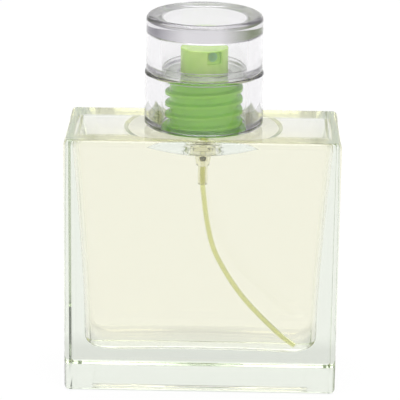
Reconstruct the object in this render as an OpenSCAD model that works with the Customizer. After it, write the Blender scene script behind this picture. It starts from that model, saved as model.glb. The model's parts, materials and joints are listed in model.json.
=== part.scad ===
// Aftershave bottle: heavy clear glass block, spray pump, green threaded sleeve,
// clear collar and clear pull-off cap.
// Millimetres. +Z up, front is -Y. Origin: middle of the underside.

/* [Glass body] */
// Width of the body, left to right
body_w = 80; // [70:1:110]
// Depth of the body, front to back
body_d = 38; // [34:1:60]
// Height of the body up to its flat shoulder
body_h = 77; // [60:1:110]
// Rounding of the outer edges
edge_r = 1.6; // [0.8:0.1:3]
// Glass in the front wall and in the back wall
wall_front = 7; // [5:0.5:8]
// Glass in a side wall just under the shoulder
wall_side_top = 2.4; // [1.5:0.1:4]
// Glass in a side wall near the foot
wall_side_low = 5.8; // [4:0.1:8]
// Glass in the base
base_t = 10.5; // [6:0.5:15]
// Rise of the hollow's floor at its middle
floor_rise = 0.8; // [0:0.1:2]
// Rounding of the hollow between floor and side walls
hollow_corner_r = 8.5; // [4:0.5:10]
// Rounding of the hollow between floor and front or back wall
hollow_foot_r = 4; // [2:0.5:6]
// Rounding of the hollow along its ceiling
hollow_top_r = 2; // [1:0.5:4]
// Rounding of the hollow's upright edges
hollow_edge_r = 6; // [3:0.5:8]
// Glass over the hollow in the flat of the shoulder
shoulder_t = 1.7; // [1.2:0.1:4]
// Extra glass that hangs under the neck, at its thickest
bulge_t = 4.8; // [2:0.1:7]
// Radius of that thicker glass
bulge_r = 23.3; // [14:0.1:28]
// Depth of the recess under the base
recess_depth = 0.3; // [0.2:0.05:0.6]
// Distance from the edge of the base to that recess
recess_margin = 8; // [5:0.5:12]

/* [Neck] */
// Radius of the bore through the neck
neck_bore_r = 4.8; // [4.4:0.1:5.4]
// Glass in the neck's wall
neck_wall = 1.7; // [1.2:0.1:2.5]
// Step from the neck out to the bead at the mouth
bead_step = 0.95; // [0.6:0.05:1.3]
// Height of the bead
bead_h = 4; // [3:0.2:5]
// Height of the neck above the shoulder
neck_h = 8; // [7:0.2:10]
// Flare of the bore where it opens into the hollow
bore_flare = 1.5; // [0.5:0.1:3]

/* [Contents] */
// Air between the liquid's surface and the hollow's ceiling
head_space = 0.5; // [0.2:0.1:30]
// Thickness of the clear base label
label_t = 0.1; // [0.05:0.01:0.15]
// Distance from the recess's edge to the label
label_margin = 2; // [1:0.5:6]

/* [Spray pump] */
// Thickness of the gasket on the mouth
gasket_t = 0.8; // [0.5:0.1:1.2]
// Gap between the pump housing and the neck's bore
bore_gap = 0.7; // [0.4:0.05:1]
// Thickness of the pump housing's wall
housing_wall = 1.1; // [0.8:0.05:1.3]
// Thickness of the housing's flange
flange_t = 1; // [0.8:0.1:1.5]
// Travel of the pump when it is pressed
stroke = 4; // [2:0.1:5]
// Height left for the return spring when the pump is pressed
spring_low_h = 3; // [2.4:0.1:5]
// Radius of the stem
stem_r = 1.6; // [1.4:0.05:1.7]
// Radius of the passage in the stem
stem_bore_r = 0.75; // [0.7:0.05:0.85]
// Height of the piston
piston_h = 2.4; // [2:0.1:2.6]
// Height of the valve spring over the piston
valve_spring_h = 2.2; // [2:0.1:2.4]
// Slip of the piston on the valve pin when it opens
piston_slip = 0.5; // [0.2:0.05:0.6]
// Radius of the inlet ball
ball_r = 1; // [0.9:0.05:1.1]
// Radius of the dip tube
tube_r = 0.8; // [0.7:0.05:0.9]
// Radius of the dip tube's passage
tube_bore_r = 0.5; // [0.4:0.05:0.55]
// Length of the spigot that holds the dip tube
spigot_len = 5.5; // [4:0.5:7]
// Thickness of the crimped aluminium
ferrule_t = 0.4; // [0.3:0.05:0.5]

/* [Threaded sleeve] */
// Wall of the sleeve between its threads
sleeve_wall = 1.95; // [1.5:0.05:2.5]
// Height of the threads over that wall
thread_depth = 1.4; // [0.8:0.1:1.8]
// Rise of the thread in one turn
thread_pitch = 3.3; // [2.8:0.1:4]
// Number of turns of the thread
thread_turns = 3.7; // [2:0.1:4]
// Reach of the foot under the wall of the collar that stands on it
foot_reach = 0.9; // [0.6:0.1:1.5]
// Thickness of that foot
sleeve_foot_t = 0.8; // [0.6:0.1:1.2]
// Thickness of the disc at the sleeve's top
sleeve_head_t = 0.8; // [0.5:0.1:1.2]

/* [Clear collar] */
// Wall of the collar
collar_wall = 4.9; // [3:0.1:6]
// Gap between the threads and the collar's bore
thread_gap = 1.1; // [0.5:0.1:1.5]
// Height of the collar's top over the crimped plate
collar_over_plate = 5.9; // [5:0.1:7]
// Thickness of the web across the collar's top
web_t = 1; // [0.8:0.1:1.4]
// Height of the ring that guides the cap
guide_h = 2; // [1:0.2:3]
// Thickness of that ring
guide_t = 0.7; // [0.5:0.1:1]
// Wall of the short tube that guides the actuator
guide_tube_wall = 0.75; // [0.6:0.05:1]
// Rounding of the edges at the joint between collar and cap
seam_r = 0.8; // [0.4:0.1:1.2]

/* [Actuator] */
// Height of the actuator's top above the collar
actuator_rise = 7.3; // [6.6:0.1:9]
// Thickness of the actuator's skirt
actuator_wall = 1.2; // [1:0.1:1.6]
// Turn of the nozzle from the front, towards the right
nozzle_turn = 25; // [-180:1:180]
// Radius of the nozzle insert
nozzle_r = 1.4; // [1.2:0.05:1.5]
// Length of the nozzle insert
nozzle_len = 2.2; // [1.8:0.1:2.4]
// Plastic over and under the nozzle insert
nozzle_cover = 0.6; // [0.5:0.05:0.8]

/* [Clear cap] */
// Wall of the cap
cap_wall = 4.5; // [3:0.1:6]
// Space over the actuator inside the cap
cap_space = 3.6; // [2:0.1:8]
// Thickness of the cap's top
cap_top_t = 5.7; // [2:0.1:6]
// Rounding of the cap's top edge
cap_edge_r = 1.6; // [0.8:0.1:3]

/* [Fits] */
// Gap around parts that slide on each other
slide_gap = 0.1; // [0.05:0.01:0.15]
// Gap around parts that are pressed together
press_gap = 0.05; // [0.02:0.01:0.08]
// Gap around the actuator where it passes the collar
actuator_gap = 0.3; // [0.2:0.05:0.5]

/* [Hidden] */
$fn = 96;
over = 1;

// Levels of the hollow
ceiling_z = body_h - shoulder_t;
bulge_z = ceiling_z - bulge_t;
half_top = body_w / 2 - wall_side_top;
half_low = body_w / 2 - wall_side_low;
half_deep = body_d / 2 - wall_front;
fill_z = ceiling_z - head_space;

// Levels of the neck and of what is crimped on it
neck_r = neck_bore_r + neck_wall;
bead_r = neck_r + bead_step;
mouth_z = body_h + neck_h;
bead_z = mouth_z - bead_h;
flange_z = mouth_z + gasket_t;
turret_z = flange_z + flange_t;
turret_flange_t = 0.8;
plate_z = turret_z + turret_flange_t;
plate_top_z = plate_z + ferrule_t;
nose_h = 0.6;
nose_r = stem_r + 1.7;
turret_flange_r = neck_bore_r + 1;
ferrule_in_r = bead_r + 0.15;
ferrule_r = ferrule_in_r + ferrule_t;
sleeve_bore_r = ferrule_r + press_gap;

// Levels in the pump chamber, from its top down
housing_r = neck_bore_r - bore_gap;
chamber_r = housing_r - housing_wall;
chamber_top_z = turret_z;
plug_len = 2.1;
stem_gasket_t = 0.5;
gasket_top_z = chamber_top_z - plug_len;
rest_z = gasket_top_z - stem_gasket_t;
shoulder_h = 0.7;
shoulder_r = chamber_r - 0.4;
stem_foot_z = rest_z - shoulder_h;
piston_z = stem_foot_z - valve_spring_h - piston_h;
pin_flange_t = 0.6;
pin_z = piston_z - pin_flange_t;
pin_r = stem_bore_r - slide_gap;
ledge_z = pin_z - stroke - spring_low_h;
valve_wire_r = 0.15;
return_wire_r = 0.2;
stem_tail_r = stem_r - 0.4;
stem_tail_len = valve_spring_h - piston_slip - 0.2;

// Inlet valve and spigot under the chamber
throat_r = ball_r - 0.15;
throat_h = 1.3;
pocket_r = ball_r + 0.2;
pocket_h = 2 * ball_r + 0.2;
seat_r = ball_r * 0.6;
pocket_top_z = ledge_z - throat_h;
seat_z = pocket_top_z - pocket_h;
ball_rest_z = seat_z + sqrt(ball_r * ball_r - seat_r * seat_r) + 0.03;
spigot_r = tube_r + 0.6;
spigot_top_z = seat_z - 1.6;
spigot_end_z = spigot_top_z - spigot_len;
housing_bottom_z = ledge_z - 0.7;

// Collar, actuator and cap
collar_z = body_h + sleeve_foot_t;
collar_top_z = plate_top_z + collar_over_plate;
web_z = collar_top_z - web_t;
sleeve_r = sleeve_bore_r + sleeve_wall;
thread_r = sleeve_r + thread_depth;
clear_bore_r = thread_r + thread_gap;
sleeve_foot_r = clear_bore_r + foot_reach;
collar_r = clear_bore_r + collar_wall;
sleeve_top_z = web_z - 0.1;
thread_start = -166;
rib_half_w = 0.85;
rib_flank = 0.5;
guide_tube_r = ferrule_r;
web_hole_r = guide_tube_r - guide_tube_wall;
actuator_r = web_hole_r - actuator_gap;
guide_r = clear_bore_r - slide_gap;
actuator_top_z = collar_top_z + actuator_rise;
actuator_z = plate_top_z + stroke + 0.3;
nozzle_z = actuator_top_z - nozzle_r - nozzle_cover;
socket_top_z = nozzle_z - nozzle_r - nozzle_cover;
post_z = plate_z + ferrule_t + nose_h + stroke + 0.2;
post_r = stem_r + 1.1;
recess_flat = actuator_r - 1.3;
recess_w = 2 * nozzle_r + 1.4;
recess_h = 2 * nozzle_r + 0.8;
cap_r = clear_bore_r + cap_wall;
cap_z = collar_top_z;
cap_ceiling_z = actuator_top_z + cap_space;
cap_top_z = cap_ceiling_z + cap_top_t;

// Route of the dip tube: inside the spigot, then down to the corner of the hollow. Each point of the curve
// is a share of the way across, a share of the way forward and a share of the fall to the tube's foot.
tube_from_side = 6.2;
tube_from_front = 3.5;
tube_from_floor = 2.1;
tube_end = [half_low - tube_from_side, -(half_deep - tube_from_front), base_t + tube_from_floor];
curve = [[0.0143, 0, 0.9231], [0.0357, 0, 0.8191], [0.0714, 0.0588, 0.7048], [0.125, 0.1176, 0.5904],
         [0.2143, 0.2353, 0.4865], [0.3393, 0.3529, 0.3721], [0.4821, 0.5294, 0.2682],
         [0.6607, 0.7059, 0.1642], [0.8571, 0.8824, 0.0603], [1, 1, 0]];
route = concat([[0, 0, spigot_top_z - 0.1], [0, 0, spigot_end_z]],
               [for (p = curve) [tube_end[0] * p[0], tube_end[1] * p[1],
                                 tube_end[2] + (spigot_end_z - tube_end[2]) * p[2]]]);
route_steps = 3;
tube_sides = 8;

function arc(centre, r, from, to, steps) =
    [for (k = [0:steps]) let (a = from + (to - from) * k / steps) centre + r * [cos(a), sin(a)]];

function unit(v) = v / norm(v);

// A smooth curve through a list of points, with some points between each pair
function bend(p0, p1, p2, p3, t) =
    0.5 * (2 * p1 + (p2 - p0) * t + (2 * p0 - 5 * p1 + 4 * p2 - p3) * t * t
           + (3 * p1 - 3 * p2 + p3 - p0) * t * t * t);
function smooth(points, steps) = let (last = len(points) - 1)
    [for (i = [0:last - 1], k = [0:steps - 1])
        bend(points[max(i - 1, 0)], points[i], points[i + 1], points[min(i + 2, last)], k / steps),
     points[last]];

// Rings of a tube along a curve that never runs along Y
function ring_at(path, i, r, sides) =
    let (along = unit(path[min(i + 1, len(path) - 1)] - path[max(i - 1, 0)]),
         across = unit(cross([0, 1, 0], along)), up = cross(along, across))
    [for (s = [0:sides - 1]) path[i] + r * (cos(360 * s / sides) * across + sin(360 * s / sides) * up)];
function rings(path, r, sides) = [for (i = [0:len(path) - 1]) each ring_at(path, i, r, sides)];
function side_faces(count, sides, base) =
    [for (i = [0:count - 2], s = [0:sides - 1])
        let (a = base + i * sides, b = a + sides, n = (s + 1) % sides)
        [a + s, a + n, b + n, b + s]];
function turned(faces) = [for (f = faces) [f[3], f[2], f[1], f[0]]];

module solid_rod(path, r, sides) {
    last = (len(path) - 1) * sides;
    polyhedron(rings(path, r, sides),
               concat(side_faces(len(path), sides, 0),
                      [[for (s = [0:sides - 1]) sides - 1 - s]],
                      [[for (s = [0:sides - 1]) last + s]]));
}

module hollow_rod(path, r_out, r_in, sides) {
    count = len(path);
    inner = count * sides;
    last = (count - 1) * sides;
    polyhedron(concat(rings(path, r_out, sides), rings(path, r_in, sides)),
               concat(side_faces(count, sides, 0), turned(side_faces(count, sides, inner)),
                      [for (s = [0:sides - 1]) let (n = (s + 1) % sides) [n, s, inner + s, inner + n]],
                      [for (s = [0:sides - 1]) let (n = (s + 1) % sides)
                          [last + s, last + n, inner + last + n, inner + last + s]]));
}

module tube(r_out, r_in, z, h) {
    translate([0, 0, z]) difference() {
        cylinder(r = r_out, h = h);
        translate([0, 0, -over]) cylinder(r = r_in, h = h + 2 * over);
    }
}

module round_rect(w, h, r) {
    square([w - 2 * r, h], center = true);
    square([w, h - 2 * r], center = true);
    for (x = [-1, 1], y = [-1, 1]) translate([x * (w / 2 - r), y * (h / 2 - r)]) circle(r = r);
}

// A coil spring standing on the axis between two levels
module spring(z_low, z_high, coil_r, wire_r, turns) {
    steps = 16;
    low = z_low + wire_r + 0.02;
    high = z_high - wire_r - 0.02;
    path = [for (k = [0:turns * steps]) let (a = 360 * k / steps)
        [coil_r * cos(a), coil_r * sin(a), low + (high - low) * k / (turns * steps)]];
    wire = [for (i = [0:len(path) - 1]) let (a = 360 * i / steps)
        each [for (s = [0:5])
            path[i] + wire_r * (cos(60 * s) * [cos(a), sin(a), 0] + [0, 0, sin(60 * s)])]];
    last = (len(path) - 1) * 6;
    polyhedron(wire, concat(turned(side_faces(len(path), 6, 0)),
                            [[for (s = [0:5]) s]], [[for (s = [0:5]) last + 5 - s]]));
}

// Right half of the hollow's outline, from the middle of its floor to the middle of its ceiling
function hollow_half(low, top, foot_r, gap) =
    let (floor_half = low - foot_r, side_z = base_t + foot_r, side_h = ceiling_z - hollow_top_r - side_z,
         lid_half = top - hollow_top_r)
    concat([for (k = [0:5]) let (s = k / 6)
                [floor_half * s, base_t + gap + floor_rise * (1 - s * s)]],
           arc([low - foot_r, base_t + foot_r], foot_r - gap, -90, 0, 8),
           [for (k = [1:7]) let (t = k / 8) [low - gap + (top - low) * pow(t, 1.5), side_z + side_h * t]],
           arc([lid_half, ceiling_z - hollow_top_r], hollow_top_r - gap, 0, 90, 6),
           [[0, ceiling_z - gap]]);
function both_halves(half) =
    concat(half, [for (k = [len(half) - 2:-1:1]) [-half[k][0], half[k][1]]]);

// Thicker glass under the neck, grown by a gap
module bulge(gap) {
    steps = 12;
    rotate_extrude() polygon(concat(
        [[0, ceiling_z + over], [bulge_r + gap, ceiling_z + over]],
        [for (k = [0:steps]) let (s = 1 - k / steps)
            [(bulge_r + gap) * s, bulge_z - gap + bulge_t * s * s]]));
}

// Space inside the glass under the neck, shrunk by a gap
module hollow(gap) {
    tall = ceiling_z - base_t;
    difference() {
        intersection() {
            rotate([90, 0, 0]) linear_extrude(2 * (half_deep - gap), center = true)
                polygon(both_halves(hollow_half(half_low, half_top, hollow_corner_r, gap)));
            rotate([90, 0, 90]) linear_extrude(body_w, center = true) {
                deep = half_deep - gap;
                flat = half_deep - hollow_foot_r;
                translate([-deep, base_t + hollow_foot_r]) square([2 * deep, tall]);
                translate([-flat, base_t]) square([2 * flat, tall]);
                for (y = [-1, 1]) translate([y * (half_deep - hollow_foot_r), base_t + hollow_foot_r])
                    circle(r = hollow_foot_r - gap);
            }
            linear_extrude(body_h)
                round_rect(2 * (half_top - gap), 2 * (half_deep - gap), hollow_edge_r - gap);
        }
        bulge(gap);
    }
}

// Passage up through the neck, flared where it opens into the hollow, shrunk by a gap
module neck_passage(gap) {
    bore = neck_bore_r - gap;
    rotate_extrude() polygon([[0, bulge_z - over], [bore + bore_flare, bulge_z - over],
                              [bore + bore_flare, bulge_z + 0.3], [bore, bulge_z + 0.3 + 2 * bore_flare],
                              [bore, mouth_z + over], [0, mouth_z + over]]);
}

module glass_block() {
    intersection() {
        linear_extrude(body_h) round_rect(body_w, body_d, edge_r);
        rotate([90, 0, 0]) linear_extrude(body_d, center = true)
            translate([0, body_h / 2]) round_rect(body_w, body_h, edge_r);
        rotate([90, 0, 90]) linear_extrude(body_w, center = true)
            translate([0, body_h / 2]) round_rect(body_d, body_h, edge_r);
    }
}

module bottle() {
    lead = bead_r - neck_r;
    color([0.82, 0.9, 0.85, 0.4]) difference() {
        union() {
            glass_block();
            rotate_extrude() polygon([[0, body_h - over], [neck_r, body_h - over], [neck_r, bead_z],
                                      [bead_r, bead_z + lead], [bead_r, mouth_z - 0.6],
                                      [bead_r - 0.6, mouth_z], [0, mouth_z]]);
        }
        hollow(0);
        neck_passage(0);
        translate([0, 0, -over]) linear_extrude(over + recess_depth)
            round_rect(body_w - 2 * recess_margin, body_d - 2 * recess_margin, 3);
    }
}

module liquid() {
    color([0.93, 0.94, 0.72, 0.6]) difference() {
        intersection() {
            union() {
                hollow(press_gap);
                neck_passage(press_gap);
            }
            translate([-body_w / 2, -body_d / 2, 0]) cube([body_w, body_d, fill_z]);
        }
        housing_outside(press_gap);
        solid_rod(tube_path(), tube_r + press_gap, tube_sides);
    }
}

module base_label() {
    margin = recess_margin + label_margin;
    color([0.95, 0.95, 0.93, 0.5]) translate([0, 0, recess_depth - label_t]) linear_extrude(label_t)
        round_rect(body_w - 2 * margin, body_d - 2 * margin, 2);
}

module neck_gasket() {
    color("dimgray") tube(bead_r - 0.3, housing_r + 0.2, mouth_z, gasket_t);
}

module crimp_ferrule() {
    color("silver") {
        tube(ferrule_r, nose_r + slide_gap, plate_z, ferrule_t);
        tube(ferrule_r, ferrule_in_r, bead_z - 0.4, plate_z - bead_z + 0.4);
        tube(ferrule_r, neck_r + press_gap, bead_z - 0.4 - ferrule_t, ferrule_t);
    }
}

// Outside of the pump housing, grown by a gap
module housing_outside(gap) {
    hip_r = ball_r + 1.4;
    hip_z = housing_bottom_z - 1.2;
    rotate_extrude() polygon([[0, spigot_end_z - gap], [spigot_r + gap, spigot_end_z - gap],
                              [spigot_r + gap, spigot_top_z - gap], [hip_r - 0.5 + gap, spigot_top_z + 0.4],
                              [hip_r + gap, hip_z], [housing_r + gap, housing_bottom_z],
                              [housing_r + gap, flange_z + 0.1], [0, flange_z + 0.1]]);
}

module pump_housing() {
    color([0.93, 0.94, 0.92]) difference() {
        union() {
            housing_outside(0);
            translate([0, 0, flange_z]) cylinder(r = bead_r - 0.55, h = flange_t);
        }
        translate([0, 0, ledge_z]) cylinder(r = chamber_r, h = chamber_top_z - ledge_z + over);
        translate([0, 0, pocket_top_z - over]) cylinder(r = throat_r, h = throat_h + 2 * over);
        translate([0, 0, seat_z]) cylinder(r = pocket_r, h = pocket_h);
        translate([0, 0, spigot_end_z]) cylinder(r = seat_r, h = seat_z - spigot_end_z + over);
        translate([0, 0, spigot_end_z - over]) cylinder(r = tube_r + press_gap, h = spigot_len + over);
    }
}

module turret() {
    color([0.9, 0.9, 0.88]) difference() {
        union() {
            translate([0, 0, gasket_top_z]) cylinder(r = chamber_r - press_gap, h = plug_len);
            translate([0, 0, turret_z]) cylinder(r = turret_flange_r, h = turret_flange_t);
            translate([0, 0, plate_z]) cylinder(r = nose_r, h = ferrule_t + nose_h);
        }
        translate([0, 0, gasket_top_z - over])
            cylinder(r = stem_r + slide_gap, h = mouth_z + 2 * over - gasket_top_z + gasket_t + flange_t
                     + turret_flange_t + ferrule_t + nose_h);
    }
}

module stem_gasket() {
    color("dimgray") tube(chamber_r - press_gap, stem_r + press_gap, rest_z, stem_gasket_t);
}

module stem() {
    color([0.95, 0.95, 0.95]) difference() {
        union() {
            translate([0, 0, stem_foot_z - stem_tail_len])
                cylinder(r = stem_tail_r, h = stem_tail_len + shoulder_h / 2);
            translate([0, 0, stem_foot_z]) cylinder(r = shoulder_r, h = shoulder_h);
            translate([0, 0, rest_z]) cylinder(r = stem_r, h = socket_top_z - rest_z);
        }
        translate([0, 0, piston_z]) cylinder(r = stem_bore_r, h = socket_top_z - piston_z + over);
    }
}

module valve_pin() {
    color([0.88, 0.88, 0.9]) {
        translate([0, 0, pin_z]) cylinder(r = chamber_r - 0.6, h = pin_flange_t);
        translate([0, 0, piston_z]) cylinder(r = pin_r, h = piston_h + valve_spring_h);
    }
}

module piston() {
    waist_r = chamber_r - 0.8;
    lip_h = 0.6;
    color([0.96, 0.96, 0.9]) difference() {
        translate([0, 0, piston_z]) cylinder(r = chamber_r - press_gap, h = piston_h);
        tube(chamber_r + over, waist_r, piston_z + lip_h, piston_h - 2 * lip_h);
        translate([0, 0, piston_z - over]) cylinder(r = pin_r + 0.35, h = piston_h + 2 * over);
    }
}

module valve_spring() {
    color("silver") spring(piston_z + piston_h, stem_foot_z, stem_tail_r + 0.6, valve_wire_r, 3);
}

module return_spring() {
    color("silver") spring(ledge_z, pin_z, chamber_r - 0.8, return_wire_r, 5);
}

module inlet_ball() {
    color("silver") translate([0, 0, ball_rest_z]) sphere(r = ball_r);
}

function tube_path() = smooth(route, route_steps);

module dip_tube() {
    color([0.95, 0.96, 0.88]) hollow_rod(tube_path(), tube_r, tube_bore_r, tube_sides);
}

// Radius of the sleeve's outside at an angle and a level: a helical rib on a plain tube
function thread_radius(a, z) =
    let (low_z = body_h + sleeve_foot_t + 0.4, high_z = low_z + thread_pitch * thread_turns,
         turn = (z - low_z) / thread_pitch - (a - thread_start) / 360,
         away = abs(turn - round(turn)) * thread_pitch,
         flank = max(0, min(1, (rib_half_w - away) / rib_flank)),
         runout = max(0, min(1, (z - low_z) / rib_flank, (high_z - z) / rib_flank)))
    sleeve_r + (thread_r - sleeve_r) * flank * runout;

module threaded_rod() {
    sides = 40;
    rows = 56;
    step = (sleeve_top_z - body_h) / rows;
    last = rows * sides;
    polyhedron([for (k = [0:rows], s = [0:sides - 1]) let (a = 360 * s / sides, z = body_h + k * step,
                    r = thread_radius(a, z)) [r * cos(a), r * sin(a), z]],
               concat(turned(side_faces(rows + 1, sides, 0)),
                      [[for (s = [0:sides - 1]) s]], [[for (s = [0:sides - 1]) last + sides - 1 - s]]));
}

module thread_sleeve() {
    color([0.55, 0.78, 0.25, 0.8]) difference() {
        union() {
            threaded_rod();
            translate([0, 0, body_h]) cylinder(r = sleeve_foot_r, h = sleeve_foot_t);
            translate([0, 0, sleeve_top_z - sleeve_head_t]) cylinder(r = guide_r, h = sleeve_head_t);
        }
        translate([0, 0, body_h - over]) cylinder(r = sleeve_bore_r, h = sleeve_top_z - body_h + 2 * over);
    }
}

// Outline of a ring's wall with rounded outer edges
module wall_section(r_in, r_out, z_low, z_high, round_low, round_high) {
    w = r_out - r_in;
    translate([r_in, z_low + round_low]) square([w, z_high - z_low - round_low - round_high]);
    translate([r_in, z_low]) square([w - round_low, round_low + over]);
    translate([r_in, z_high - round_high - over]) square([w - round_high, round_high + over]);
    translate([r_out - round_low, z_low + round_low]) circle(r = round_low);
    translate([r_out - round_high, z_high - round_high]) circle(r = round_high);
}

module collar() {
    tube_z = plate_top_z + 0.4;
    color([0.9, 0.93, 0.93, 0.35]) rotate_extrude() {
        wall_section(clear_bore_r, collar_r, collar_z, collar_top_z, seam_r, seam_r);
        translate([web_hole_r, web_z]) square([clear_bore_r - web_hole_r + 0.5, web_t]);
        translate([guide_r - guide_t, web_z]) square([guide_t, web_t + guide_h]);
        translate([web_hole_r, tube_z]) square([guide_tube_r - web_hole_r, web_z - tube_z + web_t / 2]);
    }
}

module nozzle_side() {
    rotate([0, 0, nozzle_turn - 90]) translate([0, 0, nozzle_z]) rotate([0, 90, 0]) children();
}

module actuator() {
    chamfer = 0.3;
    seat_x = recess_flat - nozzle_len - 0.2;
    jet_post_r = nozzle_r - 0.65;
    duct_r = 0.3;
    duct_up = nozzle_r - duct_r;
    duct_top_z = nozzle_z + duct_up + duct_r + 0.15;
    roof_z = socket_top_z - 0.6;
    color([0.5, 0.85, 0.35, 0.8]) difference() {
        union() {
            translate([0, 0, actuator_z])
                cylinder(r = actuator_r, h = actuator_top_z - chamfer - actuator_z);
            translate([0, 0, actuator_top_z - chamfer])
                cylinder(r1 = actuator_r, r2 = actuator_r - chamfer, h = chamfer);
        }
        tube(actuator_r - actuator_wall, post_r, actuator_z - over, roof_z - actuator_z + over);
        translate([0, 0, actuator_z - over]) cylinder(r = post_r + 0.1, h = post_z - actuator_z + over);
        translate([0, 0, actuator_z - over])
            cylinder(r = stem_r + press_gap, h = socket_top_z - actuator_z + over);
        translate([0, 0, socket_top_z - over]) cylinder(r = 0.6, h = duct_top_z - socket_top_z + over);
        rotate([0, 0, nozzle_turn - 90])
            translate([recess_flat, -recess_w / 2, nozzle_z - recess_h / 2 - 0.1])
            cube([3, recess_w, recess_h]);
        nozzle_side() difference() {
            translate([0, 0, seat_x]) cylinder(r = nozzle_r + press_gap, h = nozzle_len + over);
            translate([0, 0, seat_x - over]) cylinder(r = jet_post_r, h = nozzle_len - 0.5 + over);
        }
        nozzle_side() translate([-duct_up, 0, 0]) cylinder(r = duct_r, h = seat_x + 0.1);
    }
}

module nozzle_insert() {
    cup_depth = nozzle_len - 0.5;
    color([0.75, 0.92, 0.65]) nozzle_side() translate([0, 0, recess_flat - nozzle_len]) difference() {
        cylinder(r = nozzle_r, h = nozzle_len);
        translate([0, 0, -over]) cylinder(r = nozzle_r - 0.55, h = cup_depth + over);
        cylinder(r = 0.2, h = nozzle_len + over);
    }
}

module cap() {
    color([0.92, 0.95, 0.95, 0.35]) rotate_extrude() {
        wall_section(clear_bore_r, cap_r, cap_z, cap_top_z, seam_r, cap_edge_r);
        translate([0, cap_ceiling_z]) square([clear_bore_r + 0.5, cap_top_t]);
    }
}

bottle();
liquid();
base_label();
neck_gasket();
crimp_ferrule();
pump_housing();
turret();
stem_gasket();
stem();
valve_pin();
piston();
valve_spring();
return_spring();
inlet_ball();
dip_tube();
thread_sleeve();
collar();
actuator();
nozzle_insert();
cap();
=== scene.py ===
import json
import math

import bmesh
import bpy
from mathutils import Matrix, Vector

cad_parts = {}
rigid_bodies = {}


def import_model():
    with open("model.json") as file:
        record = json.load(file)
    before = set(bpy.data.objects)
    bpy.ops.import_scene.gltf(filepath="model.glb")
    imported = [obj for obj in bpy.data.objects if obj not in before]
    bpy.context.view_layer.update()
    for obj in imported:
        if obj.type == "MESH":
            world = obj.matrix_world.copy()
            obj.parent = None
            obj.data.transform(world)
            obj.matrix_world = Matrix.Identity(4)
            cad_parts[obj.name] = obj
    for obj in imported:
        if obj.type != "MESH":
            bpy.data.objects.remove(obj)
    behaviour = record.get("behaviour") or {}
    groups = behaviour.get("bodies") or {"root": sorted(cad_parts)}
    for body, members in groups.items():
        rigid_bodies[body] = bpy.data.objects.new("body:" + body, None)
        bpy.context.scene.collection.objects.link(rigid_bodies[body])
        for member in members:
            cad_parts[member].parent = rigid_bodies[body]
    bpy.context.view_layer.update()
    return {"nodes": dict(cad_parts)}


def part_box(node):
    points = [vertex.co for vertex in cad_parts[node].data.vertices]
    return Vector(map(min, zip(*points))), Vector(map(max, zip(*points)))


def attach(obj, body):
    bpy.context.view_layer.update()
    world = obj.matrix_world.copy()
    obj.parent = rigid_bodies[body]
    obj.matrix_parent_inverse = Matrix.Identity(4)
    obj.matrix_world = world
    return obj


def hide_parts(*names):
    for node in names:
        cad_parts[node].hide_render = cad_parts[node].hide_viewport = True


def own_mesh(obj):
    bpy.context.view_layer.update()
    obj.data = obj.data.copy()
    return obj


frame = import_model()
mm = 0.001  # metres; sizes below are in millimetres unless a note says otherwise
seatGap = 0.02  # mm of air where clear pieces rest on each other


def fromHex(code):
    # sRGB hex to the linear colour that the shaders want
    channels = [int(code[i:i + 2], 16) / 255 for i in (1, 3, 5)]
    return tuple(c / 12.92 if c <= 0.04045 else ((c + 0.055) / 1.055) ** 2.4 for c in channels) + (1.0,)


def addNode(tree, kind, settings=None, links=None):
    node = tree.nodes.new(kind)
    for key, value in (settings or {}).items():
        if isinstance(key, int) or key in node.inputs:
            node.inputs[key].default_value = value
        else:
            setattr(node, key, value)
    for key, source in (links or {}).items():
        tree.links.new(source, node.inputs[key])
    return node


def newMaterial(name):
    material = bpy.data.materials.new(name)
    material.use_nodes = True
    tree = material.node_tree
    tree.nodes.clear()
    out = addNode(tree, "ShaderNodeOutputMaterial")
    return material, tree, out


def newObject(name, verts, faces, material, body, replaces=()):
    mesh = bpy.data.meshes.new(name)
    mesh.from_pydata([tuple(c * mm for c in v) for v in verts], [], faces)
    return finishPiece(name, mesh, material, body, replaces)


def finishPiece(name, mesh, material, body, replaces=(), sharpAngle=32):
    bm = bmesh.new()
    bm.from_mesh(mesh)
    bmesh.ops.remove_doubles(bm, verts=bm.verts, dist=0.0005 * mm)
    bmesh.ops.dissolve_degenerate(bm, edges=bm.edges, dist=0.0002 * mm)
    bmesh.ops.recalc_face_normals(bm, faces=bm.faces)
    bm.to_mesh(mesh)
    bm.free()
    mesh.shade_smooth()
    mesh.set_sharp_from_angle(angle=math.radians(sharpAngle))
    piece = bpy.data.objects.new(name, mesh)
    bpy.context.scene.collection.objects.link(piece)
    weights = piece.modifiers.new("flat faces stay flat", "WEIGHTED_NORMAL")
    weights.keep_sharp = True
    mesh.materials.clear()
    mesh.materials.append(material)
    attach(piece, body)
    if replaces:
        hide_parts(*replaces)
    return piece


def roundCorners(corners, steps=6):
    # corners are (x, y, radius); gives the closed outline with each corner as an arc
    outline = []
    count = len(corners)
    for i, (x, y, radius) in enumerate(corners):
        here = Vector((x, y))
        before = Vector(corners[i - 1][:2]) - here
        after = Vector(corners[(i + 1) % count][:2]) - here
        if radius <= 0:
            outline.append((x, y))
            continue
        half = before.angle(after) / 2
        reach = radius / math.tan(half)
        centre = here + (before.normalized() + after.normalized()).normalized() * radius / math.sin(half)
        first = here + before.normalized() * reach - centre
        last = here + after.normalized() * reach - centre
        sweep = first.angle_signed(last)
        for k in range(steps + 1):
            turn = Matrix.Rotation(-sweep * k / steps, 2)
            outline.append(tuple(centre + turn @ first))
    return outline


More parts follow.
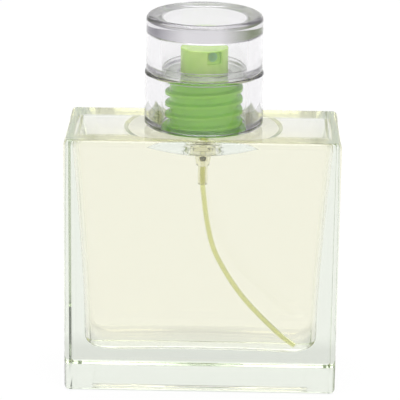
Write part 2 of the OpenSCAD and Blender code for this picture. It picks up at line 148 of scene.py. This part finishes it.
def lathe(outline, segments=128, closed=True):
    # outline in (radius, height); turned round the Z axis
    verts, faces = [], []
    count = len(outline)
    for s in range(segments):
        angle = 2 * math.pi * s / segments
        verts += [(r * math.cos(angle), r * math.sin(angle), z) for r, z in outline]
    for s in range(segments):
        a, b = s * count, (s + 1) % segments * count
        for k in range(count if closed else count - 1):
            n = (k + 1) % count
            faces.append((a + k, b + k, b + n, a + n))
    return verts, faces


def rodAlong(path, radius, sides, hollow=0.0):
    # a tube round a curve; the curve never runs along Y
    verts, faces = [], []
    count = len(path)
    for wall in ([radius, hollow] if hollow else [radius]):
        for i, point in enumerate(path):
            along = (Vector(path[min(i + 1, count - 1)]) - Vector(path[max(i - 1, 0)])).normalized()
            across = Vector((0, 1, 0)).cross(along).normalized()
            up = along.cross(across)
            for s in range(sides):
                angle = 2 * math.pi * s / sides
                verts.append(Vector(point) + wall * (math.cos(angle) * across + math.sin(angle) * up))
    inner = count * sides
    for i in range(count - 1):
        for s in range(sides):
            a, b, n = i * sides, (i + 1) * sides, (s + 1) % sides
            faces.append((a + s, a + n, b + n, b + s))
            if hollow:
                faces.append((inner + b + s, inner + b + n, inner + a + n, inner + a + s))
    for end in (0, (count - 1) * sides):
        if hollow:
            faces += [(end + s, end + (s + 1) % sides, inner + end + (s + 1) % sides, inner + end + s)
                      for s in range(sides)]
        else:
            faces.append(tuple(end + s for s in range(sides)))
    return verts, faces


def solidFrom(name, verts, faces):
    # a loose working object for the boolean cuts
    mesh = bpy.data.meshes.new(name)
    mesh.from_pydata([tuple(c * mm for c in v) for v in verts], [], faces)
    bm = bmesh.new()
    bm.from_mesh(mesh)
    bmesh.ops.remove_doubles(bm, verts=bm.verts, dist=0.0005 * mm)
    bmesh.ops.recalc_face_normals(bm, faces=bm.faces)
    bm.to_mesh(mesh)
    bm.free()
    solid = bpy.data.objects.new(name, mesh)
    bpy.context.scene.collection.objects.link(solid)
    return solid


def combine(solid, tools):
    # tools are (object, "UNION" or "DIFFERENCE"); gives one mesh and clears the working objects
    for tool, operation in tools:
        cut = solid.modifiers.new(tool.name, "BOOLEAN")
        cut.object = tool
        cut.operation = operation
        cut.solver = "EXACT"
    bpy.context.view_layer.update()
    evaluated = solid.evaluated_get(bpy.context.evaluated_depsgraph_get())
    mesh = bpy.data.meshes.new_from_object(evaluated)
    for tool, _ in tools:
        bpy.data.objects.remove(tool)
    bpy.data.objects.remove(solid)
    return mesh


def waviness(tree, size, strength, distance):
    # slow unevenness of a surface; size is the width of one wave
    spot = addNode(tree, "ShaderNodeTexCoord")
    noise = addNode(tree, "ShaderNodeTexNoise", {"Scale": 1000 / size, "Detail": 1.0},
                    {"Vector": spot.outputs["Object"]})
    return addNode(tree, "ShaderNodeBump", {"Strength": strength, "Distance": distance * mm},
                   {"Height": noise.outputs["Fac"]})


def clearMaterial(name, ior, tint, density, wave=None):
    material, tree, out = newMaterial(name)
    shader = addNode(tree, "ShaderNodeBsdfPrincipled",
                     {"Base Color": fromHex("#ffffff"), "Transmission Weight": 1.0, "Roughness": 0.0,
                      "IOR": ior})
    if wave:
        bump = waviness(tree, *wave)
        tree.links.new(bump.outputs["Normal"], shader.inputs["Normal"])
    tree.links.new(shader.outputs["BSDF"], out.inputs["Surface"])
    if density:
        volume = addNode(tree, "ShaderNodeVolumeAbsorption", {"Color": fromHex(tint), "Density": density})
        tree.links.new(volume.outputs["Volume"], out.inputs["Volume"])
    return material


# Soda-lime glass, fire-polished: clear with a green cast where the light runs far through it
glass = clearMaterial("soda-lime glass", 1.52, "#c2d2ac", 10.0, (24, 0.25, 0.02))
# Alcohol and water with a little dye: pale yellow-green, deeper along the side walls
aftershave = clearMaterial("aftershave", 1.36, "#ece27c", 11.0)
# SAN, injection moulded and polished: water-clear, slightly grey in thick walls
clearPlastic = clearMaterial("SAN", 1.56, "#d3d0d6", 30.0, (30, 0.15, 0.01))


def greenMaterial(name, colour, roughness, transmission):
    # Polypropylene, dyed through and moulded: light goes in and comes out green, under a soft gloss.
    # The dye flows in 6 mm streaks; the mould's grain is 0.4 mm, coarser than real so that it shows.
    material, tree, out = newMaterial(name)
    spot = addNode(tree, "ShaderNodeTexCoord")
    flow = addNode(tree, "ShaderNodeTexNoise", {"Scale": 1000 / 6, "Detail": 2.0},
                   {"Vector": spot.outputs["Object"]})
    tone = addNode(tree, "ShaderNodeMix",
                   {"data_type": "RGBA", 6: fromHex(colour[0]), 7: fromHex(colour[1])},
                   {0: flow.outputs["Fac"]})
    grain = addNode(tree, "ShaderNodeTexNoise", {"Scale": 1000 / 0.4, "Detail": 2.0},
                    {"Vector": spot.outputs["Object"]})
    bump = addNode(tree, "ShaderNodeBump", {"Strength": 0.08, "Distance": 0.02 * mm},
                   {"Height": grain.outputs["Fac"]})
    shader = addNode(tree, "ShaderNodeBsdfPrincipled",
                     {"Roughness": roughness, "IOR": 1.49, "Transmission Weight": transmission},
                     {"Base Color": tone.outputs[2], "Normal": bump.outputs["Normal"]})
    tree.links.new(shader.outputs["BSDF"], out.inputs["Surface"])
    return material


# The ribbed sleeve is thick and deep green, the button lighter, the thin disc almost colourless: partly
# because it is thin, and partly painted light, its near-white colour standing in for the light that falls
# on its top from above
greenSleeve = greenMaterial("green polypropylene", ("#a6ea3a", "#8cd82c"), 0.06, 0.06)
greenButton = greenMaterial("green polypropylene button", ("#dcf88c", "#b4ee60"), 0.12, 0.1)
paintedLightDisc = greenMaterial("green polypropylene disc", ("#f4fcee", "#ecfae0"), 0.2, 0.3)
# Acetal, moulded and unpolished: a pale mint that stands out in the button's window
paleInsert = greenMaterial("pale acetal", ("#b6ecae", "#a4e39c"), 0.35, 0.3)


def plainMaterial(name, colour, roughness, metallic=0.0, transmission=0.0, ior=1.5, grain=0.5):
    # two close tones and a faint relief in one fine noise; grain is the width of its spots
    material, tree, out = newMaterial(name)
    spot = addNode(tree, "ShaderNodeTexCoord")
    noise = addNode(tree, "ShaderNodeTexNoise", {"Scale": 1000 / grain, "Detail": 3.0},
                    {"Vector": spot.outputs["Object"]})
    tone = addNode(tree, "ShaderNodeMix",
                   {"data_type": "RGBA", 6: fromHex(colour[0]), 7: fromHex(colour[1])},
                   {0: noise.outputs["Fac"]})
    bump = addNode(tree, "ShaderNodeBump", {"Strength": 0.1, "Distance": 0.01 * mm},
                   {"Height": noise.outputs["Fac"]})
    settings = {"Roughness": roughness, "Metallic": metallic, "Transmission Weight": transmission}
    if not metallic:
        settings["IOR"] = ior
    shader = addNode(tree, "ShaderNodeBsdfPrincipled", settings,
                     {"Base Color": tone.outputs[2], "Normal": bump.outputs["Normal"]})
    tree.links.new(shader.outputs["BSDF"], out.inputs["Surface"])
    return material


# Polypropylene without dye, moulded: milky and slightly waxy
naturalPlastic = plainMaterial("natural polypropylene", ("#e6e8de", "#d9dccf"), 0.35, ior=1.49)
# Moulded polypropylene and drawn polyethylene under the liquid: their index is given against the liquid's,
# so that only their edges show
housingPlastic = plainMaterial("natural polypropylene in liquid", ("#fbfaee", "#f6f5e2"), 0.08,
                               transmission=0.95, ior=1.1)
tubePlastic = plainMaterial("polyethylene tube in liquid", ("#f6f7d8", "#eef0c4"), 0.06,
                            transmission=0.95, ior=1.11)
# Nitrile rubber, punched from sheet: matt and nearly black
gasketRubber = plainMaterial("nitrile rubber", ("#2b2f2a", "#1f231f"), 0.6)
# Aluminium, drawn and left bare: bright with a soft sheen
ferruleMetal = plainMaterial("drawn aluminium", ("#c9cacc", "#b9babd"), 0.3, metallic=1.0)
# Stainless steel, drawn and polished: darker and sharper in its shine than the aluminium
springSteel = plainMaterial("stainless wire", ("#a9a8a6", "#8f8e8c"), 0.25, metallic=1.0, grain=0.2)
# Polypropylene film, cast: clear, so that only its edge catches light
labelFilm = clearMaterial("polypropylene film", 1.49, "#ffffff", 0.0)
print("materials made")


bottleSize = {
    "edge": 1.6, "edgeSteps": 8,
    "neck": 6.5, "bead": 7.45, "beadHeight": 4.0, "beadEdge": 0.6, "neckHeight": 8.0, "neckBore": 4.8,
    "recessDepth": 0.3, "recessMargin": 8.0,
}
hollowSize = {
    "halfTop": 37.6, "halfLow": 34.2, "halfDeep": 12.0, "floor": 10.5, "floorRise": 0.8,
    "cornerRadius": 8.5, "footRadius": 4.0, "topRadius": 2.0, "uprightRadius": 2.0,
    "ceiling": 75.3, "bulgeDepth": 4.8, "bulgeRadius": 23.3, "flare": 1.5, "fill": 74.8,
}
low, high = (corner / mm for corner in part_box("bottle"))
bodyWidth, bodyDepth = high.x - low.x, high.y - low.y
shoulder = high.z - bottleSize["neckHeight"]
mouth = high.z


def rectRing(halfX, halfY, radius):
    # a rounded rectangle, from +X round to +X again
    radius = min(radius, halfX, halfY)
    quarter = [(halfX, (halfY - radius) * k / 6) for k in range(6)]
    quarter += [(halfX - radius + radius * math.cos(a), halfY - radius + radius * math.sin(a))
                for a in (math.pi / 2 * k / 14 for k in range(14))]
    quarter += [((halfX - radius) * (1 - k / 16), halfY) for k in range(16)]
    half = quarter + [(0.0, halfY)] + [(-x, y) for x, y in reversed(quarter[1:])]
    return half + [(-x, -y) for x, y in half]


def hollowRings(grow):
    size = hollowSize
    rings = []

    def add(halfX, halfY, radius, heightAt):
        rings.append([(x, y, heightAt(x, y)) for x, y in rectRing(halfX, halfY, radius)])

    def floorAt(x, y):
        return size["floor"] - grow + size["floorRise"] * (1 - (x / size["halfLow"]) ** 2)

    def filletAt(x, y, angle):
        # the fillet between floor and wall is larger at the side walls than at the front
        side = abs(x) / (abs(x) + abs(y) * 2.2 + 1e-6)
        radius = size["footRadius"] + (size["cornerRadius"] - size["footRadius"]) * side ** 2
        return radius * (1 - math.cos(angle))

    floorX, floorY = size["halfLow"] - size["cornerRadius"], size["halfDeep"] - size["footRadius"]
    for share in (0.0, 0.35, 0.7, 1.0):
        add(max(floorX * share, 0.02), max(floorY * share, 0.02), size["uprightRadius"] * share, floorAt)
    for k in range(1, 9):
        a = math.pi / 2 * k / 8
        x = floorX + (size["cornerRadius"] + grow) * math.sin(a)
        y = floorY + (size["footRadius"] + grow) * math.sin(a)
        add(x, y, size["uprightRadius"],
            lambda px, py, a=a: floorAt(px, py) + filletAt(px, py, a))
    sideLow = size["floor"] + size["cornerRadius"]
    sideHigh = size["ceiling"] - size["topRadius"]
    for k in range(1, 15):
        t = k / 14
        x = size["halfLow"] + (size["halfTop"] - size["halfLow"]) * t ** 1.5 + grow
        add(x, size["halfDeep"] + grow, size["uprightRadius"],
            lambda px, py, t=t: sideLow + (sideHigh - sideLow) * t)
    lidX, lidY = size["halfTop"] - size["topRadius"], size["halfDeep"] - size["topRadius"]
    for k in range(1, 7):
        a = math.pi / 2 * k / 6
        reach = (size["topRadius"] + grow) * math.cos(a)
        height = sideHigh + (size["topRadius"] + grow) * math.sin(a)
        upright = max(size["uprightRadius"] - size["topRadius"] * math.sin(a), 0.3)
        add(lidX + reach, lidY + reach, upright, lambda px, py, z=height: z)
    return rings


def skin(rings):
    verts = [v for ring in rings for v in ring]
    count = len(rings[0])
    faces = [(i * count + s, i * count + (s + 1) % count,
              (i + 1) * count + (s + 1) % count, (i + 1) * count + s)
             for i in range(len(rings) - 1) for s in range(count)]
    faces.append(tuple(reversed(range(count))))
    faces.append(tuple((len(rings) - 1) * count + s for s in range(count)))
    return verts, faces


def insideTools(grow):
    # the hollow, the thicker glass that hangs into it round the neck, and the passage up the neck
    size = hollowSize
    under = size["ceiling"] - size["bulgeDepth"]
    curve = [((size["bulgeRadius"] - grow) * (1 - k / 24) + 0.001,
              under + grow + size["bulgeDepth"] * (1 - k / 24) ** 2) for k in range(25)]
    lid = [(0.001, size["ceiling"] + 2), (curve[0][0], size["ceiling"] + 2)]
    bulge = solidFrom("bulge", *lathe(lid + curve, 160))
    bore = bottleSize["neckBore"] + grow
    flare = [(bore + size["flare"] * (1 - math.sin(a)), under + 0.3 + 2 * size["flare"] * (1 - math.cos(a)))
             for a in (math.pi / 2 * k / 8 for k in range(9))]
    passage = solidFrom("passage", *lathe([(0.001, under - 1), (bore + size["flare"], under - 1)] + flare
                                          + [(bore, mouth + 1), (0.001, mouth + 1)], 96))
    return bulge, passage


def roundedBlock(width, depth, height, radius, steps, base=0.0):
    mesh = bpy.data.meshes.new("block")
    bm = bmesh.new()
    bmesh.ops.create_cube(bm, size=1.0)
    for v in bm.verts:
        v.co = Vector((v.co.x * width, v.co.y * depth, (v.co.z + 0.5) * height + base)) * mm
    bmesh.ops.bevel(bm, geom=bm.edges[:], offset=radius * mm, segments=steps, profile=0.5, affect="EDGES")
    bm.to_mesh(mesh)
    bm.free()
    block = bpy.data.objects.new("block", mesh)
    bpy.context.scene.collection.objects.link(block)
    return block


def objectFrom(name, mesh):
    solid = bpy.data.objects.new(name, mesh)
    bpy.context.scene.collection.objects.link(solid)
    return solid


def makeInside(grow):
    bulge, passage = insideTools(grow)
    hollow = solidFrom("hollow", *skin(hollowRings(grow)))
    return objectFrom("inside", combine(hollow, [(bulge, "DIFFERENCE"), (passage, "UNION")]))


def makeBottle():
    size = bottleSize
    block = roundedBlock(bodyWidth, bodyDepth, shoulder, size["edge"], size["edgeSteps"])
    beadZ = mouth - size["beadHeight"]
    lead = size["bead"] - size["neck"]
    neckOutline = [(0.001, shoulder - 1), (size["neck"], shoulder - 1), (size["neck"], beadZ)]
    neckOutline += [(size["bead"], beadZ + lead), (size["bead"], mouth - size["beadEdge"]),
                    (size["bead"] - size["beadEdge"], mouth), (0.001, mouth)]
    neck = solidFrom("neck", *lathe(neckOutline, 96))
    recess = roundedBlock(bodyWidth - 2 * size["recessMargin"], bodyDepth - 2 * size["recessMargin"],
                          2 * size["recessDepth"], 0.25, 2, -size["recessDepth"])
    mesh = combine(block, [(neck, "UNION"), (makeInside(0.0), "DIFFERENCE"), (recess, "DIFFERENCE")])
    return finishPiece("glassBottle", mesh, glass, "flask", ["bottle"], 16)


def makeLiquid():
    # runs a hair into the glass, so that no air film shows between the two
    top = objectFrom("top", roundedBlock(bodyWidth, bodyDepth, 20, 0.1, 1, hollowSize["fill"]).data)
    for leftOver in [o for o in bpy.data.objects if o.name.startswith("block")]:
        bpy.data.objects.remove(leftOver)
    mesh = combine(makeInside(0.04), [(top, "DIFFERENCE")])
    return finishPiece("aftershaveFill", mesh, aftershave, "flask", ["liquid"], 16)


def makeLabel():
    # clear film without print, a hair under the glass it is stuck to
    low, high = (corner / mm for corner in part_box("base_label"))
    film = roundedBlock(high.x - low.x, high.y - low.y, 0.08, 0.03, 2, low.z)
    mesh = film.data
    bpy.data.objects.remove(film)
    return finishPiece("baseLabel", mesh, labelFilm, "flask", ["base_label"])


makeBottle()
makeLiquid()
makeLabel()
print("bottle, liquid and label made")


collarSize = {"seam": 0.8, "foot": 0.8, "web": 1.0, "webHole": 7.25, "guideHeight": 2.0, "guideWall": 0.7,
              "tubeOuter": 8.0, "tubeFoot": 88.4, "inner": 12.5, "slide": 0.1}
low, high = (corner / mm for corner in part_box("collar"))
collarOuter, collarFoot = high.x, low.z + seatGap
collarTop = high.z - collarSize["guideHeight"]


def makeCollar():
    size = collarSize
    inner, guide = size["inner"], size["inner"] - size["slide"]
    web = collarTop - size["web"]
    small = 0.15
    corners = [
        (inner, collarFoot, small), (collarOuter, collarFoot, size["foot"]),
        (collarOuter, collarTop, size["seam"]), (guide, collarTop, 0.05),
        (guide, collarTop + size["guideHeight"], 0.25),
        (guide - size["guideWall"], collarTop + size["guideHeight"], 0.25),
        (guide - size["guideWall"], collarTop, 0.2), (size["webHole"], collarTop, small),
        (size["webHole"], size["tubeFoot"], small), (size["tubeOuter"], size["tubeFoot"], small),
        (size["tubeOuter"], web, small), (inner, web, 0.4),
    ]
    verts, faces = lathe(roundCorners(corners), 160)
    return newObject("clearCollar", verts, faces, clearPlastic, "flask", ["collar"])


capSize = {"edge": 1.6, "seam": 0.8, "inner": 12.5, "topThickness": 5.7, "innerCorner": 0.5}
low, high = (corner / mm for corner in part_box("cap"))
capOuter, capFoot, capTop = high.x, low.z + seatGap, high.z


def makeCap():
    size = capSize
    ceiling = capTop - size["topThickness"]
    corners = [
        (size["inner"], capFoot, 0.2), (capOuter, capFoot, size["seam"]), (capOuter, capTop, size["edge"]),
        (0.001, capTop, 0), (0.001, ceiling, 0), (size["inner"], ceiling, size["innerCorner"]),
    ]
    verts, faces = lathe(roundCorners(corners, 8), 160)
    return newObject("clearCap", verts, faces, clearPlastic, "cover", ["cap"])


makeCollar()
makeCap()
print("collar and cap made")


sleeveSize = {
    "radius": 10.0, "bore": 8.05, "foot": 13.4, "footThickness": 0.8, "head": 12.4, "headThickness": 0.8,
    "thread": 11.4, "pitch": 3.3, "turns": 3.7, "start": -166.0, "halfWidth": 0.85, "flank": 0.5,
    "sides": 120, "rows": 150,
}
low, high = (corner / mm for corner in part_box("thread_sleeve"))
sleeveFoot, sleeveTop = low.z + seatGap, high.z


def threadRadius(angle, height):
    size = sleeveSize
    start = sleeveFoot + size["footThickness"] + 0.4
    end = start + size["pitch"] * size["turns"]
    turn = (height - start) / size["pitch"] - (angle - size["start"]) / 360
    away = abs(turn - round(turn)) * size["pitch"]
    flank = max(0.0, min(1.0, (size["halfWidth"] - away) / size["flank"]))
    runOut = max(0.0, min(1.0, (height - start) / size["flank"], (end - height) / size["flank"]))
    soft = flank * flank * (3 - 2 * flank)
    return size["radius"] + (size["thread"] - size["radius"]) * soft * runOut


def makeSleeve():
    size = sleeveSize
    footTop = sleeveFoot + size["footThickness"]
    rings = []
    outer = [(size["foot"], sleeveFoot), (size["foot"], footTop), (size["radius"], footTop)]
    for r, z in outer:
        rings.append([(r, z)] * size["sides"])
    top = sleeveTop - size["headThickness"]
    for k in range(1, size["rows"] + 1):
        z = footTop + (top - footTop) * k / size["rows"]
        rings.append([(threadRadius(360 * s / size["sides"], z), z) for s in range(size["sides"])])
    rings.append([(size["bore"], top)] * size["sides"])
    rings.append([(size["bore"], sleeveFoot)] * size["sides"])
    sides, count = size["sides"], len(rings)
    verts = [(r * math.cos(2 * math.pi * s / sides), r * math.sin(2 * math.pi * s / sides), z)
             for ring in rings for s, (r, z) in enumerate(ring)]
    faces = [(i * sides + s, i * sides + (s + 1) % sides, (i + 1) % count * sides + (s + 1) % sides,
              (i + 1) % count * sides + s) for i in range(count) for s in range(sides)]
    return newObject("threadedSleeve", verts, faces, greenSleeve, "flask",
                     ["thread_sleeve"])


def makeSleeveDisc():
    # the thin disc at the sleeve's top lets more light through than the ribbed wall, so it looks paler; its
    # near-white colour is also painted light, standing in for the light that falls on its top from above
    size = sleeveSize
    under = sleeveTop - size["headThickness"] + 0.002
    corners = [(size["bore"], under, 0.1), (size["head"], under, 0.2), (size["head"], sleeveTop, 0.25),
               (size["bore"], sleeveTop, 0.1)]
    verts, faces = lathe(roundCorners(corners), 144)
    return newObject("sleeveDisc", verts, faces, paintedLightDisc, "flask", ["thread_sleeve"])


makeSleeve()
makeSleeveDisc()
print("sleeve made")


buttonSize = {"rim": 0.35, "wall": 1.2, "roof": 4.0, "nozzleTurn": 25.0, "nozzleDrop": 2.0,
              "windowDepth": 1.3, "windowWidth": 4.2, "windowHeight": 3.6}
low, high = (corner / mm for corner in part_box("actuator"))
buttonRadius, buttonFoot, buttonTop = high.x, low.z, high.z
nozzleHeight = buttonTop - buttonSize["nozzleDrop"]


def makeButton():
    size = buttonSize
    roof = buttonTop - size["roof"]
    corners = [
        (buttonRadius, buttonFoot, 0.15), (buttonRadius, buttonTop, size["rim"]), (0.001, buttonTop, 0),
        (0.001, roof, 0), (buttonRadius - size["wall"], roof, 0.4),
        (buttonRadius - size["wall"], buttonFoot, 0.15),
    ]
    body = solidFrom("body", *lathe(roundCorners(corners), 128))
    window = roundedBlock(3.0, size["windowWidth"], size["windowHeight"], 0.3, 3)
    turn = Matrix.Rotation(math.radians(size["nozzleTurn"] - 90), 4, "Z")
    flat = buttonRadius - size["windowDepth"]
    place = Matrix.Translation(Vector((flat + 1.5, 0, nozzleHeight - size["windowHeight"] / 2 - 0.1)) * mm)
    window.data.transform(turn @ place)
    mesh = combine(body, [(window, "DIFFERENCE")])
    return finishPiece("fingerButton", mesh, greenButton, "finger_button", ["actuator"])


makeButton()
pumpFinish = {
    "nozzle_insert": paleInsert, "pump_housing": housingPlastic, "turret": naturalPlastic,
    "stem": naturalPlastic, "valve_pin": naturalPlastic, "piston": naturalPlastic,
    "neck_gasket": gasketRubber, "stem_gasket": gasketRubber, "crimp_ferrule": ferruleMetal,
    "inlet_ball": springSteel,
}
for nodeName, material in pumpFinish.items():
    cadMesh = frame["nodes"][nodeName].data
    cadMesh.materials.clear()
    cadMesh.materials.append(material)

# each coil is its part's shape in stainless wire, on its body; the table gives the part, the body, the
# joint and that joint's travel in mm, which nothing reads: the long one stands on its foot, the small one
# under the stem
springSize = {
    "returnSpring": ("return_spring", "flask", "pump_press", 4.0),
    "valveSpring": ("valve_spring", "plunger", "piston_slip", 0.5),
}
for springName, (nodeName, body, joint, travel) in springSize.items():
    spring = bpy.data.objects.new(springName, frame["nodes"][nodeName].data.copy())
    bpy.context.scene.collection.objects.link(spring)
    spring.data.materials.clear()
    spring.data.materials.append(springSteel)
    low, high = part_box(nodeName)
    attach(spring, body)
    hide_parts(nodeName)
    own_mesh(spring)
print("button and pump made")


tubeSize = {"radius": 0.8, "bore": 0.5, "steps": 10, "sides": 20}
tubeRoute = [(0, 0, 66.1), (0, 0, 60.7), (0.4, 0, 57), (1, 0, 52), (2, -0.5, 46.5), (3.5, -1, 41),
             (6, -2, 36), (9.5, -3, 30.5), (13.5, -4.5, 25.5), (18.5, -6, 20.5), (24, -7.5, 15.5),
             (28, -8.5, 12.6)]


def smoothRoute(points, steps):
    curve = []
    last = len(points) - 1
    for i in range(last):
        p0, p1, p2, p3 = (Vector(points[j]) for j in (max(i - 1, 0), i, i + 1, min(i + 2, last)))
        for k in range(steps):
            t = k / steps
            curve.append(0.5 * (2 * p1 + (p2 - p0) * t + (2 * p0 - 5 * p1 + 4 * p2 - p3) * t * t
                                + (3 * p1 - 3 * p2 + p3 - p0) * t ** 3))
    return curve + [Vector(points[last])]


verts, faces = rodAlong(smoothRoute(tubeRoute, tubeSize["steps"]), tubeSize["radius"], tubeSize["sides"],
                        tubeSize["bore"])
newObject("dipTube", verts, faces, tubePlastic, "flask", ["dip_tube"])
print("dip tube made")


# floor in m, the rest in mm; the gap keeps the floor off the underside of the glass
stageSize = {"floor": 3.0, "gap": 0.03, "glow": 0.95, "shade": 0.84, "shadeEnd": (31.0, 44.0)}


def makeStage():
    half = stageSize["floor"] / 2
    mesh = bpy.data.meshes.new("floor")
    low = -stageSize["gap"] * mm
    mesh.from_pydata([(-half, -half, low), (half, -half, low), (half, half, low), (-half, half, low)], [],
                     [(0, 1, 2, 3)])
    floor = bpy.data.objects.new("floor", mesh)
    bpy.context.scene.collection.objects.link(floor)
    material, tree, out = newMaterial("white card")
    shader = addNode(tree, "ShaderNodeBsdfPrincipled", {"Base Color": fromHex("#f2f2f2"), "Roughness": 0.9})
    glow = addNode(tree, "ShaderNodeEmission", {"Color": fromHex("#ffffff"), "Strength": 1.0})
    path = addNode(tree, "ShaderNodeLightPath")
    # straight on it is white; through clear pieces it is shaded close behind the bottle, white further off
    spot = addNode(tree, "ShaderNodeTexCoord")
    away = addNode(tree, "ShaderNodeSeparateXYZ", {}, {0: spot.outputs["Object"]})
    near, far = stageSize["shadeEnd"]
    fade = addNode(tree, "ShaderNodeMapRange",
                   {1: near * mm, 2: far * mm, 3: stageSize["shade"], 4: 1.0}, {0: away.outputs["Y"]})
    behind = addNode(tree, "ShaderNodeEmission", {"Color": fromHex("#ffffff")},
                     {"Strength": fade.outputs[0]})
    straight = addNode(tree, "ShaderNodeMath", {"operation": "MULTIPLY", 1: stageSize["glow"]},
                       {0: path.outputs["Is Camera Ray"]})
    plain = addNode(tree, "ShaderNodeMixShader", {},
                    {0: straight.outputs[0], 1: shader.outputs["BSDF"], 2: glow.outputs["Emission"]})
    clean = addNode(tree, "ShaderNodeMath", {"operation": "LESS_THAN", 1: 0.5},
                    {0: path.outputs["Diffuse Depth"]})
    through = addNode(tree, "ShaderNodeMath", {"operation": "MULTIPLY"},
                      {0: clean.outputs[0], 1: path.outputs["Is Transmission Ray"]})
    mix = addNode(tree, "ShaderNodeMixShader", {},
                  {0: through.outputs[0], 1: plain.outputs["Shader"], 2: behind.outputs["Emission"]})
    tree.links.new(mix.outputs["Shader"], out.inputs["Surface"])
    mesh.materials.append(material)


studioLight = {
    "left": "#7f8c66", "leftEdge": 0.16, "leftWhite": 0.4,
    "right": "#96949c", "rightEdge": 0.86, "rightWhite": 0.62, "plain": 1.0,
    # place in m, width in m, power in W
    "lamps": {"key": ((0.5, -0.7, 0.9), 0.6, 3.0), "fill": ((-0.9, -0.4, 0.7), 0.8, 1.6),
              "overhead": ((0.0, 0.05, 1.0), 0.7, 4.5)},
}


def makeLight():
    world = bpy.data.worlds.new("studio")
    bpy.context.scene.world = world
    world.use_nodes = True
    tree = world.node_tree
    tree.nodes.clear()
    out = addNode(tree, "ShaderNodeOutputWorld")
    path = addNode(tree, "ShaderNodeLightPath")
    spot = addNode(tree, "ShaderNodeTexCoord")
    axes = addNode(tree, "ShaderNodeSeparateXYZ", {}, {0: spot.outputs["Generated"]})
    # what clear pieces show: darker cards at the two sides and white everywhere else
    across = addNode(tree, "ShaderNodeMapRange", {1: -1.0, 2: 1.0}, {0: axes.outputs["X"]})
    sides = addNode(tree, "ShaderNodeValToRGB", {}, {0: across.outputs[0]})
    ramp = sides.color_ramp
    for element, side in zip(ramp.elements, ("left", "right")):
        element.position = studioLight[side + "Edge"]
        element.color = fromHex(studioLight[side])
    for position in (studioLight["leftWhite"], studioLight["rightWhite"]):
        ramp.elements.new(position).color = fromHex("#ffffff")
    cards = addNode(tree, "ShaderNodeBackground", {"Strength": 1.0}, {"Color": sides.outputs[0]})
    plain = addNode(tree, "ShaderNodeBackground",
                    {"Color": fromHex("#ffffff"), "Strength": studioLight["plain"]})
    shown = addNode(tree, "ShaderNodeBackground", {"Color": fromHex("#ffffff"), "Strength": 1.0})
    clean = addNode(tree, "ShaderNodeMath", {"operation": "LESS_THAN", 1: 0.5},
                    {0: path.outputs["Diffuse Depth"]})
    mirror = addNode(tree, "ShaderNodeMath", {"operation": "MAXIMUM"},
                     {0: path.outputs["Is Glossy Ray"], 1: path.outputs["Is Transmission Ray"]})
    seen = addNode(tree, "ShaderNodeMath", {"operation": "MULTIPLY"},
                   {0: clean.outputs[0], 1: mirror.outputs[0]})
    inner = addNode(tree, "ShaderNodeMixShader", {},
                    {0: seen.outputs[0], 1: plain.outputs["Background"], 2: cards.outputs["Background"]})
    mix = addNode(tree, "ShaderNodeMixShader", {},
                  {0: path.outputs["Is Camera Ray"], 1: inner.outputs["Shader"],
                   2: shown.outputs["Background"]})
    tree.links.new(mix.outputs["Shader"], out.inputs["Surface"])
    for name, (place, size, power) in studioLight["lamps"].items():
        data = bpy.data.lights.new(name, "AREA")
        data.size = size
        data.energy = power
        lamp = bpy.data.objects.new(name, data)
        lamp.location = place
        lamp.rotation_euler = (Vector((0, 0, 0.05)) - lamp.location).to_track_quat("-Z", "Y").to_euler()
        bpy.context.scene.collection.objects.link(lamp)


cameraSet = {"distance": 695.7, "elevation": 17.59, "yaw": 0.77, "roll": -0.73,
             "target": (-0.77, 0.0, 53.87), "lens": 211.1}  # angles in degrees


def makeCamera():
    view = cameraSet
    elevation, yaw, roll = (math.radians(view[k]) for k in ("elevation", "yaw", "roll"))
    back = Vector((math.sin(yaw) * math.cos(elevation), -math.cos(yaw) * math.cos(elevation),
                   math.sin(elevation)))
    right = (-back).cross(Vector((0, 0, 1))).normalized()
    up = right.cross(-back)
    turned = Matrix((right, up, back)).transposed() @ Matrix.Rotation(-roll, 3, "Z")
    data = bpy.data.cameras.new("camera")
    data.lens = view["lens"]
    data.clip_end = 10
    camera = bpy.data.objects.new("camera", data)
    place = (Vector(view["target"]) + back * view["distance"]) * mm
    camera.matrix_world = Matrix.Translation(place) @ turned.to_4x4()
    bpy.context.scene.collection.objects.link(camera)
    bpy.context.scene.camera = camera


makeStage()
makeLight()
makeCamera()
scene = bpy.context.scene
scene.view_settings.view_transform = "Standard"
scene.cycles.max_bounces = 72
scene.cycles.transmission_bounces = 72
scene.cycles.glossy_bounces = 64
scene.cycles.transparent_max_bounces = 16
print("stage, light and camera set")
